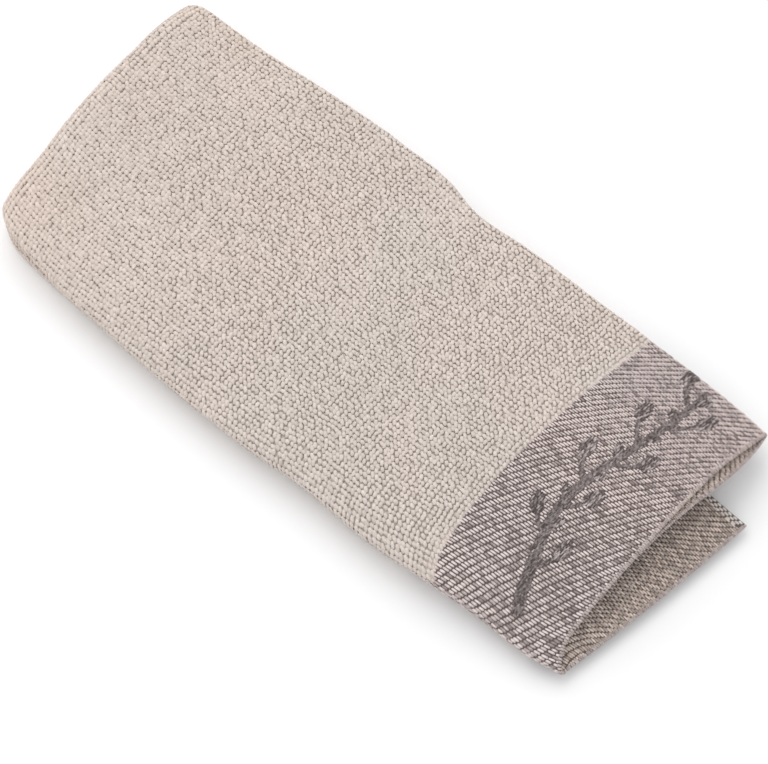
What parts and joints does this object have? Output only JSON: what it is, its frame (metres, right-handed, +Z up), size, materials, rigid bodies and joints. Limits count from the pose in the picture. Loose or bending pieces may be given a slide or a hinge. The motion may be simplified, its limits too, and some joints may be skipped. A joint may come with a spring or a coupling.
{
  "type": "folded hand towel",
  "caption": "Soft terry hand towel with a flat-woven twig border, folded in thirds and then in half, lying flat with its border arched open at the hem.",
  "frame": {"origin": "middle of the bounding box, on the plane that the underside rests on", "axes": "+Z up, +Y along the folded length towards the cross fold (the hems are at -Y), +X across towards the fold of the right flap"},
  "size_m": [0.1594, 0.3596, 0.0232],
  "materials": {
    "terry": "looped cotton pile, warm greige",
    "border": "flat-woven cotton, greyish taupe with light cross threads",
    "motif": "raised floats of dark taupe cotton"
  },
  "bodies": {
    "root": {"towel": "terry"}
  },
  "joints": []
}
